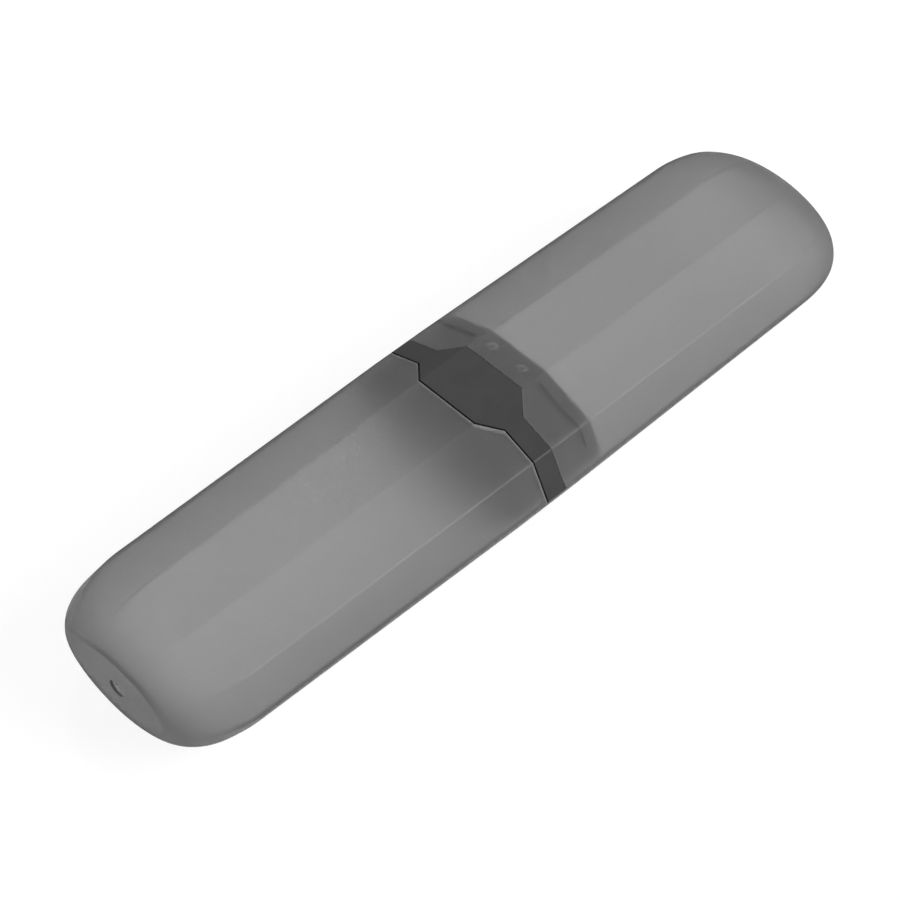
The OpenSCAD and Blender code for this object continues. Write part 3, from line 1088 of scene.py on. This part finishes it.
def studio_world(light, horizon):
    """A white surround that is darker towards the horizon where the case mirrors it, and that
    lights at a plain level."""
    world = bpy.data.worlds.new("studio_surround")
    world.use_nodes = True
    tree = world.node_tree
    tree.nodes.clear()
    output = tree.nodes.new("ShaderNodeOutputWorld")
    background = tree.nodes.new("ShaderNodeBackground")
    coordinates = tree.nodes.new("ShaderNodeTexCoord")
    height = tree.nodes.new("ShaderNodeSeparateXYZ")
    tree.links.new(coordinates.outputs["Generated"], height.inputs["Vector"])
    shade = blend(tree, height.outputs["Z"], horizon, 1.0)
    level = blend(tree, ray_kind(tree, *SEEN_RAYS), light, 1.0)
    level = arithmetic(tree, "MULTIPLY", shade, level)
    level = arithmetic(tree, "MAXIMUM", level, ray_kind(tree, SEEN_RAYS[0]))
    tree.links.new(level, background.inputs["Strength"])
    tree.links.new(background.outputs["Background"], output.inputs["Surface"])
    return world


def add_lamp(name, place, size, power):
    """Adds a square lamp that faces the case."""
    bpy.ops.object.light_add(type="AREA", location=place)
    lamp = bpy.context.object
    lamp.name = name
    lamp.data.size = size
    lamp.data.energy = power
    lamp.rotation_euler = (-lamp.location).to_track_quat("-Z", "Y").to_euler()


# Operators


class TRAVELCASE_OT_front_shell(bpy.types.Operator):
    """Model the front shell, which pulls off the collar"""

    bl_idname = "travelcase.front_shell"
    bl_label = "Front Shell"

    def execute(self, context):
        sizes = context.scene.travel_case
        side = Side(
            sizes.finish.front_colour, sizes.shell.front_seam, FRONT_RIM_HIGHLIGHT, False, math.pi)
        shell = case_shell(sizes, "front_case_shell", "front_frosted_plastic", side)
        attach(shell, "front_cap")
        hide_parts("front_shell")
        return {"FINISHED"}


class TRAVELCASE_OT_rear_shell(bpy.types.Operator):
    """Model the rear shell, which is snapped on the collar"""

    bl_idname = "travelcase.rear_shell"
    bl_label = "Rear Shell"

    def execute(self, context):
        sizes = context.scene.travel_case
        side = Side(sizes.finish.rear_colour, sizes.shell.rear_seam, REAR_RIM_HIGHLIGHT, True, 0.0)
        shell = case_shell(sizes, "rear_case_shell", "rear_frosted_plastic", side)
        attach(shell, "case_base")
        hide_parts("rear_shell")
        return {"FINISHED"}


class TRAVELCASE_OT_collar(bpy.types.Operator):
    """Model the dark collar with its belt, pads, tongues and snap ribs"""

    bl_idname = "travelcase.collar"
    bl_label = "Collar"

    def execute(self, context):
        sizes = context.scene.travel_case
        collar = collar_tube(sizes)
        collar.name = "case_collar"
        carve(collar, collar_belt(sizes), "UNION")
        press = sizes.collar.groove_gap + sizes.collar.rib_press
        carve(collar, snap_ribs(sizes, 0.0, press), "UNION")
        round_edges(collar, sizes.collar.edge_round, COLLAR_ANGLE)
        finish_piece(collar, sizes, 0.0, charcoal_plastic("charcoal_plastic", sizes))
        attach(collar, "case_base")
        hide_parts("collar")
        return {"FINISHED"}


class TRAVELCASE_OT_studio(bpy.types.Operator):
    """Set up the floor, the light and the camera"""

    bl_idname = "travelcase.studio"
    bl_label = "Studio"

    def execute(self, context):
        studio = context.scene.travel_case.studio
        bpy.ops.object.select_all(action="DESELECT")
        bpy.ops.mesh.primitive_plane_add(size=studio.floor_size)
        floor = context.object
        floor.name = "studio_floor"
        floor.data.materials.append(studio_floor(studio.floor_colour, studio.floor_glow))
        context.scene.world = studio_world(studio.sky_light, studio.horizon)
        add_lamp("key_light", studio.key_place, studio.key_size, studio.key_power)
        add_lamp("glint_light", studio.glint_place, studio.glint_size, studio.glint_power)
        place = Vector(studio.stand)
        line = Vector(studio.aim) - place
        turn = line.to_track_quat("-Z", "Y").to_matrix() @ Matrix.Rotation(studio.roll, 3, "Z")
        bpy.ops.object.camera_add(location=place, rotation=turn.to_euler())
        camera = context.object
        camera.name = "photo_camera"
        camera.data.lens = studio.lens
        context.scene.camera = camera
        context.scene.view_settings.view_transform = "Standard"
        return {"FINISHED"}


class TRAVELCASE_PT_panel(bpy.types.Panel):
    """Sidebar panel of the travel case"""

    bl_idname = "TRAVELCASE_PT_panel"
    bl_label = "Travel Case"
    bl_space_type = "VIEW_3D"
    bl_region_type = "UI"
    bl_category = "Travel Case"

    def draw(self, context):
        settings = context.scene.travel_case
        for group in (settings.case, settings.shell, settings.collar, settings.finish,
                      settings.studio):
            box = self.layout.box()
            for name in group.bl_rna.properties.keys():
                if name not in ("rna_type", "name"):
                    box.prop(group, name)
        for step in STEPS:
            self.layout.operator(step.bl_idname)


STEPS = (
    TRAVELCASE_OT_collar, TRAVELCASE_OT_rear_shell, TRAVELCASE_OT_front_shell,
    TRAVELCASE_OT_studio,
)
CLASSES = (
    CaseSizes, ShellSizes, CollarSizes, CaseFinish, CaseStudio, TravelCase, *STEPS,
    TRAVELCASE_PT_panel,
)


def register():
    """Registers the classes and hangs the settings on the scene."""
    for each in CLASSES:
        bpy.utils.register_class(each)
    bpy.types.Scene.travel_case = bpy.props.PointerProperty(type=TravelCase)


def unregister():
    """Takes the settings and the classes away again."""
    del bpy.types.Scene.travel_case
    for each in reversed(CLASSES):
        bpy.utils.unregister_class(each)


def main():
    """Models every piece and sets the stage."""
    register()
    bpy.ops.travelcase.collar()
    bpy.ops.travelcase.rear_shell()
    bpy.ops.travelcase.front_shell()
    bpy.ops.travelcase.studio()


if __name__ == "__main__":
    main()
